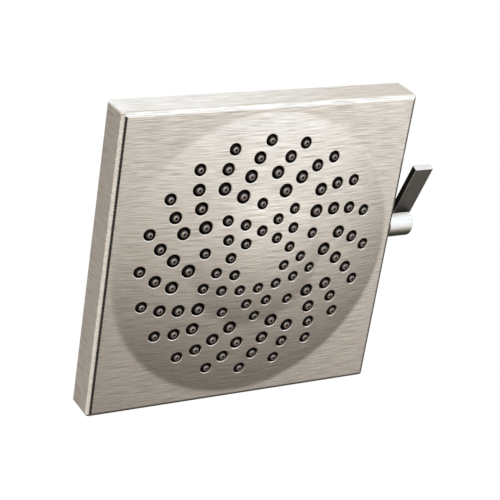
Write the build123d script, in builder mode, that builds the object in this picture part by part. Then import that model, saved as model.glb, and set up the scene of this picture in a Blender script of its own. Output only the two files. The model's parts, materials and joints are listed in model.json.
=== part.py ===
"""Square rain shower head with a crowned two-field face, a side lever and a swivel ball inlet.

Millimetres. The origin is the centre of the inlet nut's mouth. +Z is up the face, +X is the lever's
side, the water enters along -Y and the spray leaves along -Y. Depths count from the mouth towards
the spray.
"""

import os
from math import cos, radians, sin, sqrt, tan

from build123d import *

# Head and face
face_side = 216.0
head_depth = 22.6
edge_round = 3.4
corner_round = 2.2
shell_wall = 2.4
face_wall = 2.4
dome_margin = 5.7
outer_crown_h = 8.0
cap_r = 47.4
cap_rise = 3.86

# Nozzle rings: count, ring radius, first angle in degrees, hole diameter
nozzle_rings = [
    (5, 19.4, 59.2, 7.4),
    (5, 23.0, 23.1, 7.4),
    (5, 31.5, 0.8, 7.4),
    (5, 31.5, 45.5, 7.4),
    (10, 41.9, 23.1, 7.4),
    (10, 50.8, 3.0, 9.2),
    (20, 62.4, 13.0, 8.8),
    (20, 73.5, 7.0, 8.3),
    (20, 84.2, 1.0, 7.8),
]
hole_sides = 10
nozzle_sides = 8
nozzle_share = 0.68
nozzle_taper = 3.0
nozzle_proud = 1.0
orifice_r = 0.75
orifice_sides = 5
mat_thickness = 1.8
mat_inset = 6.3

# Water body behind the mat
plate_depth = 7.0
plate_thickness = 2.4
rim_inset = 2.0
rim_wall = 3.0
divider_r = 46.4
divider_wall = 2.6
ear_inset = 24.0
ear_r = 6.0
boss_r = 4.2

# Screws through the cover and the ears into the face shell
screw_r = 1.5
screw_head_r = 2.9
screw_head_h = 1.6
screw_bite = 3.2
cover_thickness = 2.2

# Swivel ball, seat and neck
ball_r = 12.5
ball_reach = 15.0
ball_mouth = 11.4
stem_r = 7.0
water_r = 4.0
seat_wide_angle = 80.0
seat_narrow_angle = 48.0
seat_r = 14.0
seal_r = 1.3
seal_angle = 44.0
neck_wall = 2.95
neck_lip = 0.5
outlet_r = 7.0
back_offset = 11.0

# Retaining nut over the ball
nut_wall = 3.0
nut_skirt = 9.6
lip_angle = 55.5
lip_top = 8.6
lip_land = 3.0
grip_flats = 12
grip_depth = 0.7

# Inlet nut with its internal pipe thread at the minor diameter
inlet_thread_r = 9.35
inlet_thread_length = 11.0
inlet_relief_r = 9.9
inlet_floor = 4.0
inlet_nut_flats = 27.0
inlet_chamfer = 1.2
clip_inset = 2.4
clip_wall = 1.9
clip_bite = 0.6
clip_thickness = 1.2
clip_gap = 5.0
washer_thickness = 2.6
washer_r = 9.0
washer_bore_r = 5.6
screen_thickness = 0.6
screen_hole_r = 0.55
screen_pitch = 1.9
regulator_r = 5.5
regulator_length = 6.0
regulator_ports = 6
regulator_port_r = 0.8

# Side lever and diverter
lever_up = 8.0
hub_r = 9.6
hub_length = 18.35
blade_inset = 4.05
blade_thickness = 4.7
blade_front = 0.3
blade_length = 52.3
blade_lean = 21.2
blade_bevel = 0.4
barrel_r = 6.5
barrel_bore_r = 4.6
barrel_overrun = 8.0
barrel_end_wall = 2.5
spool_lead = 14.0
spool_bore_r = 3.0
spool_cup_inset = 15.0
spool_groove_depth = 1.1
spool_seal_width = 1.5
spool_seal_insets = (13.6, 8.1)
inner_port_inset = 12.4
outer_port_inset = 2.2
inner_port_r = 2.4
outer_port_r = 2.9
spindle_r = 3.0
spindle_reach = 14.6
collar_r = 4.3
collar_thickness = 2.4
thrust_washer_thickness = 0.8
gland_r = 5.0
gland_flange_r = 7.0
gland_flange = 2.4
gland_slot = 1.6
gland_length = 10.0
tang_thickness = 2.4
tang_width = 5.2
tang_length = 4.2
flat_depth = 0.6
set_screw_r = 2.0
set_screw_length = 5.0
set_screw_inset = 10.1

# Clearances
seat_gap = 0.05
running_gap = 0.08
drop_in_gap = 0.15
swing_gap = 0.4

# Depths and levels that follow from the sizes above, from the mouth towards the spray
stem_end = inlet_thread_length + washer_thickness
clip_depth = stem_end + clip_inset
nut_floor_depth = clip_depth + clip_thickness + drop_in_gap
inlet_nut_length = nut_floor_depth + inlet_floor
ball_depth = inlet_nut_length + ball_reach
regulator_floor = stem_end + regulator_length / 2
seat_floor = ball_depth + (ball_r + seat_gap) * cos(radians(seat_narrow_angle)) + seat_gap
seal_reach = ball_r + seal_r + seat_gap
seal_ring_r = seal_reach * sin(radians(seal_angle))
seal_depth = ball_depth + seal_reach * cos(radians(seal_angle))
half = face_side / 2
dome_rim_r = half - dome_margin
mat_r = dome_rim_r - mat_inset
rim_r = mat_r - rim_inset
ear_spread = half - ear_inset
fitting_rings = [ring for ring in nozzle_rings if ring[1] + ring[3] / 2 < rim_r - rim_wall]
back_depth = ball_depth + back_offset
face_depth = back_depth + head_depth
lever_depth = back_depth + head_depth / 2
mat_drop = face_wall + seat_gap
chamber_drop = mat_drop + mat_thickness + seat_gap
plate_front = face_depth - plate_depth
plate_back = plate_front - plate_thickness
cover_front = back_depth + cover_thickness
outer_crown_r = (dome_rim_r**2 + outer_crown_h**2) / (2 * outer_crown_h)
cap_level = outer_crown_h - outer_crown_r + sqrt(outer_crown_r**2 - cap_r**2)
inner_crown_r = (cap_r**2 + cap_rise**2) / (2 * cap_rise)
neck_bore_r = seat_r + seat_gap
neck_r = neck_bore_r + neck_wall
socket_r = ball_r + running_gap
wall_x = half - shell_wall
gland_end = half - gland_length
collar_end = gland_end - thrust_washer_thickness - 2 * running_gap
collar_start = collar_end - collar_thickness
spool_r = barrel_bore_r - running_gap
hub_start = half + swing_gap
hub_end = hub_start + hub_length
blade_start = hub_start + blade_inset
spindle_end = hub_start + spindle_reach
set_screw_x = hub_start + set_screw_inset
barrel_start = -barrel_overrun
inner_port_x = divider_r - inner_port_inset
outer_port_x = (divider_r + rim_r) / 2 - outer_port_inset
spool_start = inner_port_x - spool_lead
spool_cup_end = collar_start - spool_cup_inset
spool_seal_places = [collar_start - inset for inset in spool_seal_insets]
lever_throw = 2 * blade_lean

axial = Plane(origin=(0, 0, 0), x_dir=(1, 0, 0), z_dir=(0, 0, -1))
upright = Plane(origin=(0, 0, 0), x_dir=(0, 0, 1), z_dir=(-1, 0, 0))
os.makedirs("parts", exist_ok=True)


def across(depth):
    """Plane square to the spray at a depth from the mouth, looking out with the spray."""
    return Plane(origin=(0, -depth, 0), x_dir=(1, 0, 0), z_dir=(0, -1, 0))


def beside(x):
    """Plane square to the lever's shaft at x, centred on the shaft."""
    return Plane(origin=(x, -lever_depth, lever_up), x_dir=(0, 1, 0), z_dir=(1, 0, 0))


def leaning(x):
    """Plane square to the shaft at x whose y runs up the lever's blade and whose x points back."""
    lean = radians(blade_lean)
    return Plane(origin=(x, -lever_depth, lever_up), x_dir=(0, cos(lean), sin(lean)), z_dir=(1, 0, 0))


def dome_height(r):
    """Height of the crowned face over the flat corners at a radius."""
    if r < cap_r:
        return cap_level + cap_rise - inner_crown_r + sqrt(inner_crown_r**2 - r**2)
    return outer_crown_h - outer_crown_r + sqrt(outer_crown_r**2 - r**2)


def crown(drop, edge_r, to_depth):
    """Outline between the crowned face lowered by drop, a cylinder of edge_r and a flat level."""
    level = face_depth - drop
    places = [edge_r, (edge_r + cap_r) / 2, cap_r, cap_r / 2, 0]
    points = [(r, level + dome_height(r)) for r in places]
    ThreePointArc(*points[:3])
    ThreePointArc(*points[2:])
    Polyline(points[4], (0, to_depth), (edge_r, to_depth), points[0])


def ball_arc(radius, first, last, away=1):
    """Arc about the ball's centre between two angles from the axis, away from the mouth or to it."""
    angles = [radians(first), radians((first + last) / 2), radians(last)]
    points = [(radius * sin(a), ball_depth + away * radius * cos(a)) for a in angles]
    ThreePointArc(*points)
    return points[0], points[2]


# Face shell: crowned face, four walls and the screw bosses, plated as one tray
with BuildPart() as face_shell:
    with BuildSketch(across(back_depth)):
        RectangleRounded(face_side, face_side, corner_round)
    extrude(amount=head_depth)
    for section_plane in (Plane.XY, upright):
        with BuildSketch(section_plane) as section:
            with Locations((0, -(back_depth + face_depth) / 2)):
                Rectangle(face_side, head_depth)
            fillet(section.vertices().group_by(SortBy.DISTANCE)[-1], edge_round)
        extrude(amount=half, both=True, mode=Mode.INTERSECT)
    with BuildSketch(axial):
        with BuildLine():
            crown(0, dome_rim_r, face_depth - face_wall)
        make_face()
    revolve(axis=Axis.Y)
    with BuildSketch(across(back_depth)):
        RectangleRounded(face_side - 2 * shell_wall, face_side - 2 * shell_wall, corner_round / 2)
    extrude(amount=head_depth - face_wall, mode=Mode.SUBTRACT)
    with BuildSketch(axial):
        with BuildLine():
            crown(face_wall, dome_rim_r, face_depth - 2 * face_wall)
        make_face()
    revolve(axis=Axis.Y, mode=Mode.SUBTRACT)
    with BuildSketch(across(face_depth - face_wall)):
        with GridLocations(2 * ear_spread, 2 * ear_spread, 2, 2):
            Circle(boss_r)
    extrude(amount=plate_front - face_depth + face_wall)
    with BuildSketch(across(plate_front)):
        with GridLocations(2 * ear_spread, 2 * ear_spread, 2, 2):
            Circle(screw_r + seat_gap)
    extrude(amount=screw_bite + drop_in_gap, mode=Mode.SUBTRACT)
    for count, ring_r, first_angle, hole_d in fitting_rings:
        with BuildSketch(across(face_depth - 2 * face_wall)):
            with PolarLocations(ring_r, count, first_angle):
                RegularPolygon(hole_d / 2, hole_sides)
        extrude(amount=4 * face_wall + outer_crown_h, mode=Mode.SUBTRACT)
    with BuildSketch(beside(half)):
        Circle(gland_r + seat_gap)
    extrude(amount=-2 * shell_wall, mode=Mode.SUBTRACT)
face_shell.part.label = "face_shell"
export_step(face_shell.part, "parts/face_shell.step")

# Nozzle mat: one soft sheet behind the crowned face with a tapered nozzle through every hole
with BuildPart() as nozzle_mat:
    with BuildSketch(axial):
        with BuildLine():
            crown(mat_drop, mat_r, plate_front - plate_depth)
        make_face()
    revolve(axis=Axis.Y)
    with BuildSketch(axial):
        with BuildLine():
            crown(mat_drop + mat_thickness, dome_rim_r, plate_front - 2 * plate_depth)
        make_face()
    revolve(axis=Axis.Y, mode=Mode.SUBTRACT)
    for count, ring_r, first_angle, hole_d in fitting_rings:
        root = face_depth + dome_height(ring_r) - mat_drop - mat_thickness / 2
        tip = face_depth + dome_height(ring_r) + nozzle_proud
        with BuildSketch(across(root)):
            with PolarLocations(ring_r, count, first_angle):
                RegularPolygon(hole_d / 2 * nozzle_share, nozzle_sides)
        extrude(amount=tip - root, taper=nozzle_taper)
    for count, ring_r, first_angle, hole_d in fitting_rings:
        tip = face_depth + dome_height(ring_r) + nozzle_proud
        with BuildSketch(across(tip + nozzle_proud)):
            with PolarLocations(ring_r, count, first_angle):
                RegularPolygon(orifice_r, orifice_sides)
        extrude(amount=-2 * nozzle_proud - mat_drop - 2 * mat_thickness, mode=Mode.SUBTRACT)
nozzle_mat.part.label = "nozzle_mat"
export_step(nozzle_mat.part, "parts/nozzle_mat.step")

# Water body: two chambers behind the mat, the valve barrel to the side and the ball's neck
with BuildPart() as water_body:
    with BuildSketch(across(plate_back)):
        Circle(rim_r)
        with GridLocations(2 * ear_spread, 2 * ear_spread, 2, 2):
            Circle(ear_r)
        for turn in (45, 135):
            Rectangle(2 * sqrt(2) * ear_spread, 2 * ear_r, rotation=turn)
    extrude(amount=plate_thickness)
    with BuildSketch(across(plate_front)):
        Circle(rim_r)
        Circle(rim_r - rim_wall, mode=Mode.SUBTRACT)
        Circle(divider_r + divider_wall / 2)
        Circle(divider_r - divider_wall / 2, mode=Mode.SUBTRACT)
    extrude(amount=plate_depth + outer_crown_h)
    with BuildSketch(axial):
        with BuildLine():
            crown(chamber_drop, dome_rim_r, face_depth + 2 * outer_crown_h)
        make_face()
    revolve(axis=Axis.Y, mode=Mode.SUBTRACT)
    with BuildSketch(across(plate_back)):
        Circle(neck_r)
    extrude(amount=ball_depth - neck_lip - plate_back)
    with BuildSketch(beside(barrel_start)):
        Circle(barrel_r)
    extrude(amount=wall_x - drop_in_gap - barrel_start)
    with BuildSketch(beside(barrel_start + barrel_end_wall)):
        Circle(barrel_bore_r)
    extrude(amount=face_side, mode=Mode.SUBTRACT)
    with BuildSketch(beside(gland_end - drop_in_gap)):
        Circle(gland_r + seat_gap)
    extrude(amount=face_side, mode=Mode.SUBTRACT)
    seal_pocket_r = seal_ring_r + seal_r + seat_gap
    seal_floor = seal_depth + seal_r + seat_gap
    for bore_r, bore_floor in ((neck_bore_r, seat_floor), (seal_pocket_r, seal_floor), (outlet_r, lever_depth)):
        with BuildSketch(across(ball_depth - 2 * neck_lip)):
            Circle(bore_r)
        extrude(amount=bore_floor - ball_depth + 2 * neck_lip, mode=Mode.SUBTRACT)
    for port_x, port_r in ((inner_port_x, inner_port_r), (outer_port_x, outer_port_r)):
        with BuildSketch(across(lever_depth)):
            with Locations((port_x, lever_up)):
                Circle(port_r)
        extrude(amount=barrel_r + plate_thickness, mode=Mode.SUBTRACT)
    with BuildSketch(across(plate_back)):
        with GridLocations(2 * ear_spread, 2 * ear_spread, 2, 2):
            Circle(screw_r + drop_in_gap)
    extrude(amount=plate_thickness, mode=Mode.SUBTRACT)
water_body.part.label = "water_body"
export_step(water_body.part, "parts/water_body.step")

# Back cover: plate let into the back of the shell, with posts down to the ears
with BuildPart() as back_cover:
    cover_side = face_side - 2 * shell_wall - 2 * drop_in_gap
    with BuildSketch(across(back_depth)):
        RectangleRounded(cover_side, cover_side, corner_round / 2)
    extrude(amount=cover_thickness)
    with BuildSketch(across(cover_front)):
        with GridLocations(2 * ear_spread, 2 * ear_spread, 2, 2):
            Circle(boss_r)
    extrude(amount=plate_back - cover_front - seat_gap)
    with BuildSketch(across(back_depth)):
        with GridLocations(2 * ear_spread, 2 * ear_spread, 2, 2):
            Circle(screw_r + drop_in_gap)
        Circle(neck_r + drop_in_gap)
    extrude(amount=plate_back - back_depth, mode=Mode.SUBTRACT)
    with BuildSketch(across(back_depth)):
        with GridLocations(2 * ear_spread, 2 * ear_spread, 2, 2):
            Circle(screw_head_r + drop_in_gap)
    extrude(amount=screw_head_h + seat_gap, mode=Mode.SUBTRACT)
back_cover.part.label = "back_cover"
export_step(back_cover.part, "parts/back_cover.step")

# Body screws: four long screws from the back through cover and ears into the shell's bosses
with BuildPart() as body_screws:
    with BuildSketch(across(back_depth)):
        with GridLocations(2 * ear_spread, 2 * ear_spread, 2, 2):
            Circle(screw_head_r)
    extrude(amount=screw_head_h)
    with BuildSketch(across(back_depth + screw_head_h)):
        with GridLocations(2 * ear_spread, 2 * ear_spread, 2, 2):
            Circle(screw_r)
    extrude(amount=plate_front + screw_bite - back_depth - screw_head_h)
    with BuildSketch(across(back_depth)):
        with GridLocations(2 * ear_spread, 2 * ear_spread, 2, 2):
            RegularPolygon(screw_r, 6)
    extrude(amount=screw_head_h / 2, mode=Mode.SUBTRACT)
body_screws.part.label = "body_screws"
export_step(body_screws.part, "parts/body_screws.step")

# Retaining nut: turned ring with a rounded lip over the ball and grip flats round its skirt
with BuildPart() as retaining_nut:
    nut_r = neck_r + seat_gap + nut_wall
    nut_top = ball_depth - lip_top
    thread_r = neck_r + seat_gap
    under_lip = ball_depth - neck_lip - seat_gap
    lip_low_angle = 90 - 2 * neck_lip
    with BuildSketch(axial):
        with BuildLine():
            lip_start, lip_stop = ball_arc(socket_r, lip_angle, lip_low_angle, -1)
            lip_rim = (lip_top * tan(radians(lip_angle)), nut_top)
            Polyline(
                lip_stop,
                (lip_stop[0], under_lip),
                (thread_r, under_lip),
                (thread_r, ball_depth + nut_skirt),
                (nut_r, ball_depth + nut_skirt),
                (nut_r, nut_top + nut_wall + grip_depth),
                (lip_rim[0] + lip_land, nut_top),
                lip_rim,
                lip_start,
            )
        make_face()
    revolve(axis=Axis.Y)
    with BuildSketch(across(nut_top + nut_wall + 2 * grip_depth)):
        Circle(nut_r + nut_wall)
        RegularPolygon(nut_r - grip_depth, grip_flats, major_radius=False, mode=Mode.SUBTRACT)
    extrude(amount=nut_skirt, mode=Mode.SUBTRACT)
retaining_nut.part.label = "retaining_nut"
export_step(retaining_nut.part, "parts/retaining_nut.step")

# Ball seat: bearing ring under the ball that turns in the neck
with BuildPart() as ball_seat:
    with BuildSketch(axial):
        with BuildLine():
            seat_wide, seat_narrow = ball_arc(ball_r + seat_gap, seat_wide_angle, seat_narrow_angle)
            Polyline(seat_narrow, (seat_r, seat_narrow[1]), (seat_r, seat_wide[1]), seat_wide)
        make_face()
    revolve(axis=Axis.Y)
ball_seat.part.label = "ball_seat"
export_step(ball_seat.part, "parts/ball_seat.step")

# Ball seal: soft ring between the seat, the ball and the neck's floor
with BuildPart() as ball_seal:
    with BuildSketch(axial):
        with Locations((seal_ring_r, seal_depth)):
            RegularPolygon(seal_r, 8)
    revolve(axis=Axis.Y)
ball_seal.part.label = "ball_seal"
export_step(ball_seal.part, "parts/ball_seal.step")

# Swivel ball: ball, stem, clip groove and stepped water bore
with BuildPart() as swivel_ball:
    with BuildSketch(axial):
        with BuildLine():
            join = ball_depth - sqrt(ball_r**2 - stem_r**2)
            mouth_r = sqrt(ball_r**2 - ball_mouth**2)
            ThreePointArc((stem_r, join), (ball_r, ball_depth), (mouth_r, ball_depth + ball_mouth))
            Polyline(
                (mouth_r, ball_depth + ball_mouth),
                (water_r, ball_depth + ball_mouth),
                (water_r, stem_end + regulator_length + drop_in_gap),
                (regulator_r + seat_gap, stem_end + regulator_length + drop_in_gap),
                (regulator_r + seat_gap, stem_end),
                (stem_r, stem_end),
                (stem_r, join),
            )
        make_face()
    revolve(axis=Axis.Y)
    with BuildSketch(across(clip_depth - seat_gap)):
        Circle(stem_r + clip_wall)
        Circle(stem_r - clip_bite, mode=Mode.SUBTRACT)
    extrude(amount=clip_thickness + 2 * seat_gap, mode=Mode.SUBTRACT)
swivel_ball.part.label = "swivel_ball"
export_step(swivel_ball.part, "parts/swivel_ball.step")

# Stem clip: split ring in the stem's groove that keeps the inlet nut on
with BuildPart() as stem_clip:
    with BuildSketch(across(clip_depth)):
        Circle(stem_r + clip_wall)
        Circle(stem_r - clip_bite + seat_gap, mode=Mode.SUBTRACT)
        with Locations((0, -stem_r)):
            Rectangle(clip_gap, 2 * clip_wall + 2 * clip_bite, mode=Mode.SUBTRACT)
    extrude(amount=clip_thickness)
stem_clip.part.label = "stem_clip"
export_step(stem_clip.part, "parts/stem_clip.step")

# Inlet nut: hexagon with the pipe thread's bore and a floor that the clip bears on
with BuildPart() as inlet_nut:
    with BuildSketch(across(0)):
        RegularPolygon(inlet_nut_flats / 2, 6, major_radius=False)
    extrude(amount=inlet_nut_length)
    hex_corner_r = inlet_nut_flats / 2 / cos(radians(30))
    for rim_depth, way in ((0, 1), (inlet_nut_length, -1)):
        with BuildSketch(axial):
            with BuildLine():
                Polyline(
                    (hex_corner_r + inlet_chamfer, rim_depth - way * inlet_chamfer),
                    (hex_corner_r - 2 * inlet_chamfer, rim_depth - way * inlet_chamfer),
                    (hex_corner_r - 2 * inlet_chamfer, rim_depth),
                    (hex_corner_r + inlet_chamfer, rim_depth + way * 2 * inlet_chamfer),
                    close=True,
                )
            make_face()
        revolve(axis=Axis.Y, mode=Mode.SUBTRACT)
    with BuildSketch(across(0)):
        Circle(inlet_thread_r)
    extrude(amount=inlet_thread_length, mode=Mode.SUBTRACT)
    with BuildSketch(across(inlet_thread_length)):
        Circle(inlet_relief_r)
    extrude(amount=nut_floor_depth - inlet_thread_length, mode=Mode.SUBTRACT)
    with BuildSketch(across(0)):
        Circle(stem_r + running_gap)
    extrude(amount=inlet_nut_length, mode=Mode.SUBTRACT)
inlet_nut.part.label = "inlet_nut"
export_step(inlet_nut.part, "parts/inlet_nut.step")

# Inlet washer on the stem's end
with BuildPart() as inlet_washer:
    with BuildSketch(across(stem_end - washer_thickness)):
        Circle(washer_r)
        Circle(washer_bore_r, mode=Mode.SUBTRACT)
    extrude(amount=washer_thickness)
inlet_washer.part.label = "inlet_washer"
export_step(inlet_washer.part, "parts/inlet_washer.step")

# Filter screen: perforated disc in the washer's bore
with BuildPart() as filter_screen:
    with BuildSketch(across(stem_end - screen_thickness)):
        Circle(washer_bore_r - seat_gap)
        with HexLocations(screen_pitch / sqrt(3), 5, 5):
            Circle(screen_hole_r, mode=Mode.SUBTRACT)
    extrude(amount=screen_thickness)
filter_screen.part.label = "filter_screen"
export_step(filter_screen.part, "parts/filter_screen.step")

# Flow regulator: drop-in cup with a ring of ports under its flexible ring
with BuildPart() as flow_regulator:
    with BuildSketch(across(stem_end + seat_gap)):
        Circle(regulator_r)
    extrude(amount=regulator_length)
    with BuildSketch(across(stem_end)):
        Circle(regulator_r - orifice_r)
        Circle(regulator_r / 4, mode=Mode.SUBTRACT)
    extrude(amount=regulator_floor - stem_end, mode=Mode.SUBTRACT)
    with BuildSketch(across(regulator_floor)):
        with PolarLocations(regulator_r / 2, regulator_ports):
            Circle(regulator_port_r)
    extrude(amount=regulator_length, mode=Mode.SUBTRACT)
flow_regulator.part.label = "flow_regulator"
export_step(flow_regulator.part, "parts/flow_regulator.step")

# Regulator ring: soft ring round the cup's post
with BuildPart() as regulator_ring:
    with BuildSketch(across(regulator_floor - seat_gap)):
        Circle(regulator_r - orifice_r - seat_gap)
        Circle(regulator_r / 2, mode=Mode.SUBTRACT)
    extrude(amount=-orifice_r * 2)
regulator_ring.part.label = "regulator_ring"
export_step(regulator_ring.part, "parts/regulator_ring.step")

# Gland nut: flanged bush through the wall that ties the barrel to the shell
with BuildPart() as gland_nut:
    with BuildSketch(beside(gland_end)):
        Circle(gland_r)
    extrude(amount=gland_length)
    with BuildSketch(beside(half + seat_gap)):
        Circle(gland_flange_r)
    extrude(amount=gland_flange)
    with BuildSketch(beside(gland_end)):
        Circle(gland_r)
    extrude(amount=gland_length + seat_gap)
    with BuildSketch(beside(half + gland_flange + seat_gap)):
        Rectangle(2 * gland_flange_r, gland_slot)
    extrude(amount=-gland_flange / 2, mode=Mode.SUBTRACT)
    with BuildSketch(beside(gland_end)):
        Circle(spindle_r + running_gap)
    extrude(amount=gland_length + 2 * gland_flange, mode=Mode.SUBTRACT)
gland_nut.part.label = "gland_nut"
export_step(gland_nut.part, "parts/gland_nut.step")

# Spindle: collared shaft with a tang for the spool and a flat for the lever's screw
with BuildPart() as spindle:
    with BuildSketch(beside(collar_start)):
        Circle(spindle_r)
    extrude(amount=spindle_end - collar_start)
    with BuildSketch(beside(collar_start)):
        Circle(collar_r)
    extrude(amount=collar_thickness)
    with BuildSketch(leaning(collar_start)):
        Rectangle(tang_thickness, tang_width)
    extrude(amount=-tang_length)
    with BuildSketch(leaning(half + gland_flange + swing_gap)):
        with Locations((0, -spindle_r)):
            Rectangle(2 * spindle_r, 2 * flat_depth)
    extrude(amount=face_side, mode=Mode.SUBTRACT)
spindle.part.label = "spindle"
export_step(spindle.part, "parts/spindle.step")

# Thrust washer between the spindle's collar and the gland nut
with BuildPart() as thrust_washer:
    with BuildSketch(beside(collar_end + running_gap)):
        Circle(collar_r)
        Circle(spindle_r + running_gap, mode=Mode.SUBTRACT)
    extrude(amount=thrust_washer_thickness)
thrust_washer.part.label = "thrust_washer"
export_step(thrust_washer.part, "parts/thrust_washer.step")

# Diverter spool: hollow plug whose two side ports open one spray field at a time
with BuildPart() as diverter_spool:
    with BuildSketch(beside(spool_start)):
        Circle(spool_r)
    extrude(amount=collar_start - seat_gap - spool_start)
    with BuildSketch(beside(spool_start)):
        Circle(spool_bore_r)
    extrude(amount=spool_cup_end - spool_start, mode=Mode.SUBTRACT)
    for seal_x in spool_seal_places:
        with BuildSketch(beside(seal_x)):
            Circle(barrel_r)
            Circle(spool_r - spool_groove_depth, mode=Mode.SUBTRACT)
        extrude(amount=spool_seal_width + 2 * seat_gap, mode=Mode.SUBTRACT)
    for port_x, port_r, turned in ((inner_port_x, inner_port_r, lever_throw), (outer_port_x, outer_port_r, 0)):
        way = (0, -cos(radians(turned)), -sin(radians(turned)))
        with BuildSketch(Plane(origin=(port_x, -lever_depth, lever_up), x_dir=(1, 0, 0), z_dir=way)):
            Circle(port_r)
        extrude(amount=barrel_r, mode=Mode.SUBTRACT)
    with BuildSketch(leaning(collar_start)):
        Rectangle(tang_thickness + 2 * seat_gap, 2 * barrel_r)
    extrude(amount=-tang_length - 2 * seat_gap, mode=Mode.SUBTRACT)
diverter_spool.part.label = "diverter_spool"
export_step(diverter_spool.part, "parts/diverter_spool.step")

# Spool seals: two rings in the spool's grooves
with BuildPart() as spool_seals:
    for seal_x in spool_seal_places:
        with BuildSketch(beside(seal_x + seat_gap)):
            Circle(spool_r)
            Circle(spool_r - spool_groove_depth + seat_gap, mode=Mode.SUBTRACT)
        extrude(amount=spool_seal_width)
spool_seals.part.label = "spool_seals"
export_step(spool_seals.part, "parts/spool_seals.step")

# Lever handle: round hub and flat blade in one casting
with BuildPart() as lever_handle:
    with BuildSketch(leaning(blade_start)):
        with Locations((blade_thickness / 2 - blade_front, blade_length / 2)):
            Rectangle(blade_thickness, blade_length)
    extrude(amount=hub_end - blade_start)
    blade_tip = lever_handle.faces().sort_by(Axis.Z)[-1]
    chamfer(lever_handle.edges().filter_by(Axis.X, reverse=True) + blade_tip.edges().filter_by(Axis.X), blade_bevel)
    with BuildSketch(leaning(hub_start)):
        Circle(hub_r)
    extrude(amount=hub_end - hub_start)
    chamfer(lever_handle.edges().filter_by(GeomType.CIRCLE).group_by(Axis.X)[-1], blade_bevel)
    with BuildSketch(leaning(hub_start)):
        Circle(gland_flange_r + swing_gap)
    extrude(amount=gland_flange + swing_gap, mode=Mode.SUBTRACT)
    with BuildSketch(leaning(hub_start)):
        Circle(spindle_r + seat_gap)
        with Locations((0, -spindle_r)):
            Rectangle(2 * spindle_r, 2 * (flat_depth - seat_gap), mode=Mode.SUBTRACT)
    extrude(amount=spindle_end + seat_gap - hub_start, mode=Mode.SUBTRACT)
    screw_line = Plane(
        origin=(set_screw_x, -lever_depth, lever_up),
        x_dir=(1, 0, 0),
        z_dir=(0, sin(radians(blade_lean)), -cos(radians(blade_lean))),
    )
    with BuildSketch(screw_line):
        Circle(set_screw_r + seat_gap)
    extrude(amount=2 * hub_r, mode=Mode.SUBTRACT)
lever_handle.part.label = "lever_handle"
export_step(lever_handle.part, "parts/lever_handle.step")

# Set screw that bites on the spindle's flat
with BuildPart() as lever_set_screw:
    with BuildSketch(screw_line.offset(spindle_r - flat_depth + seat_gap)):
        Circle(set_screw_r)
    extrude(amount=set_screw_length)
    with BuildSketch(screw_line.offset(spindle_r - flat_depth + seat_gap + set_screw_length)):
        RegularPolygon(set_screw_r / 2, 6)
    extrude(amount=-set_screw_length / 2, mode=Mode.SUBTRACT)
lever_set_screw.part.label = "lever_set_screw"
export_step(lever_set_screw.part, "parts/lever_set_screw.step")
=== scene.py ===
"""Dresses the square rain shower head: fine metal and silicone skins, finishes, stage and camera."""

import json
from math import atan2, ceil, cos, hypot, pi, radians, sin, sqrt, tan

import bpy
from bpy.props import FloatProperty, FloatVectorProperty, IntProperty, PointerProperty
from mathutils import Matrix, Vector
from mathutils.geometry import delaunay_2d_cdt


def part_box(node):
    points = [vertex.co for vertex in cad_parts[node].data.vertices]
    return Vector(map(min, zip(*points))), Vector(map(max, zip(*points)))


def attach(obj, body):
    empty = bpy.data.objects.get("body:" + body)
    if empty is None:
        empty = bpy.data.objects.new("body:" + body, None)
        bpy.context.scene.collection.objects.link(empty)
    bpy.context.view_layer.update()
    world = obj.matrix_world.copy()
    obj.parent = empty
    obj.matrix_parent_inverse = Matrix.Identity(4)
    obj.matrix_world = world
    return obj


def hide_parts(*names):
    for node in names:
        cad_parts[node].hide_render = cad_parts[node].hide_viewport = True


bl_info = {
    "name": "Rain Shower Head Finish",
    "version": (1, 0, 0),
    "blender": (4, 5, 0),
    "location": "View3D > Sidebar > Shower Head",
    "description": "Fine meshes, finishes, stage and camera of a square rain shower head",
    "category": "Object",
}

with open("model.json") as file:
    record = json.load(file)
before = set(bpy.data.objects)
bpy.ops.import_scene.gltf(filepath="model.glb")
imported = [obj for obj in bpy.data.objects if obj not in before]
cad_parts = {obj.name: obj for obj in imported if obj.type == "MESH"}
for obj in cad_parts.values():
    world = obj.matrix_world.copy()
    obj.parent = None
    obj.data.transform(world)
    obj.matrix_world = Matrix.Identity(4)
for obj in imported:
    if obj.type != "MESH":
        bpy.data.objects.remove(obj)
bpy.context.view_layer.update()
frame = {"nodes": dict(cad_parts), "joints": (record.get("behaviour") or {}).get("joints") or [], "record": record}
_, shell_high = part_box("face_shell")
lever_low, lever_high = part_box("lever_handle")
inlet_low, inlet_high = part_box("inlet_nut")
ball_low, ball_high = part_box("swivel_ball")
ring_low, ring_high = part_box("retaining_nut")
lever_joint = next(j for j in frame["joints"] if j["name"] == "diverter_lever")
tilt_joint = next(j for j in frame["joints"] if j["name"] == "head_tilt")

MM = 0.001
DEGREES = 180 / pi

# Room between the ball or the stem and the nut round it
CLEARANCE = 0.08 * MM

# Stands in where a mesh takes its normals from its own shape
NO_NORMAL = (0.0, 1.0, 0.0)

# Edges sharper than this stay sharp on such a mesh
SHARP_ANGLE = radians(28)

# Steps round the turned hub and ball
TURNED_SEGMENTS = 96

# Nozzle rings: count, ring radius, first angle in degrees, hole diameter, in millimetres
NOZZLE_RINGS = (
    (5, 19.4, 59.2, 7.4),
    (5, 23.0, 23.1, 7.4),
    (5, 31.5, 0.8, 7.4),
    (5, 31.5, 45.5, 7.4),
    (10, 41.9, 23.1, 7.4),
    (10, 50.8, 3.0, 9.2),
    (20, 62.4, 13.0, 8.8),
    (20, 73.5, 7.0, 8.3),
    (20, 84.2, 1.0, 7.8),
)

# Mix node: indexes of its two inputs and its output for each data type
MIX_SOCKETS = {"VECTOR": (4, 5, 1), "RGBA": (6, 7, 2)}

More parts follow.
